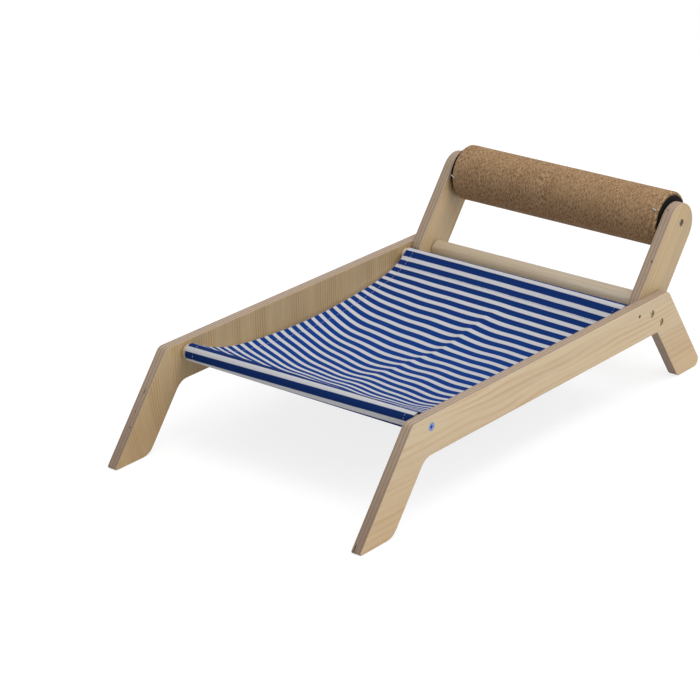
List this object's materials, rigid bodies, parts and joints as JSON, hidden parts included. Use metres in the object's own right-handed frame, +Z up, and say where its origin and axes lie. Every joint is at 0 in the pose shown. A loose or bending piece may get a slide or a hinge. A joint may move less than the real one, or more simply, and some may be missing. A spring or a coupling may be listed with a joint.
{
  "type": "cat scratcher bed",
  "caption": "Low plywood cat lounger: a striped cloth sling hangs between two dowels, and a sisal scratch roller turns between two raked posts at its head.",
  "frame": {"origin": "bottom centre of the bounding box, on the floor", "axes": "+X across the bed, +Y from the foot end towards the roller, +Z up"},
  "size_m": [0.31, 0.5822, 0.1944],
  "materials": {
    "panel_plywood": "clear satin",
    "post_plywood": "clear satin",
    "dowel_wood": "plain sanded",
    "striped_cloth": "blue and white striped canvas",
    "sisal": "closely wound sisal twine",
    "tube_board": "wound board tube",
    "black_plastic": "moulded satin",
    "blue_zinc": "blue zinc plating",
    "yellow_zinc": "yellow zinc plating",
    "bright_steel": "bright zinc"
  },
  "bodies": {
    "frame": {"fabric_sling": "striped_cloth", "front_dowel": "dowel_wood", "front_screw_left": "blue_zinc", "front_screw_right": "blue_zinc", "head_dowel": "dowel_wood", "head_dowel_screw_left": "bright_steel", "head_dowel_screw_right": "bright_steel", "post_left": "post_plywood", "post_right": "post_plywood", "post_screw_front_left": "yellow_zinc", "post_screw_front_right": "yellow_zinc", "post_screw_rear_left": "yellow_zinc", "post_screw_rear_right": "yellow_zinc", "rear_dowel": "dowel_wood", "rear_pin_left": "bright_steel", "rear_pin_right": "bright_steel", "side_panel_left": "panel_plywood", "side_panel_right": "panel_plywood"},
    "roller": {"roller_cap_left": "black_plastic", "roller_cap_right": "black_plastic", "roller_screw_left": "bright_steel", "roller_screw_right": "bright_steel", "roller_tube": "tube_board", "sisal_wrap": "sisal", "wrap_staple_left": "bright_steel", "wrap_staple_right": "bright_steel"}
  },
  "joints": [
    {"name": "roller_spin", "type": "hinge", "parent": "frame", "child": "roller", "pos_m": [0, 0.26107, 0.16441], "axis": [1, 0, 0], "continuous": true}
  ]
}
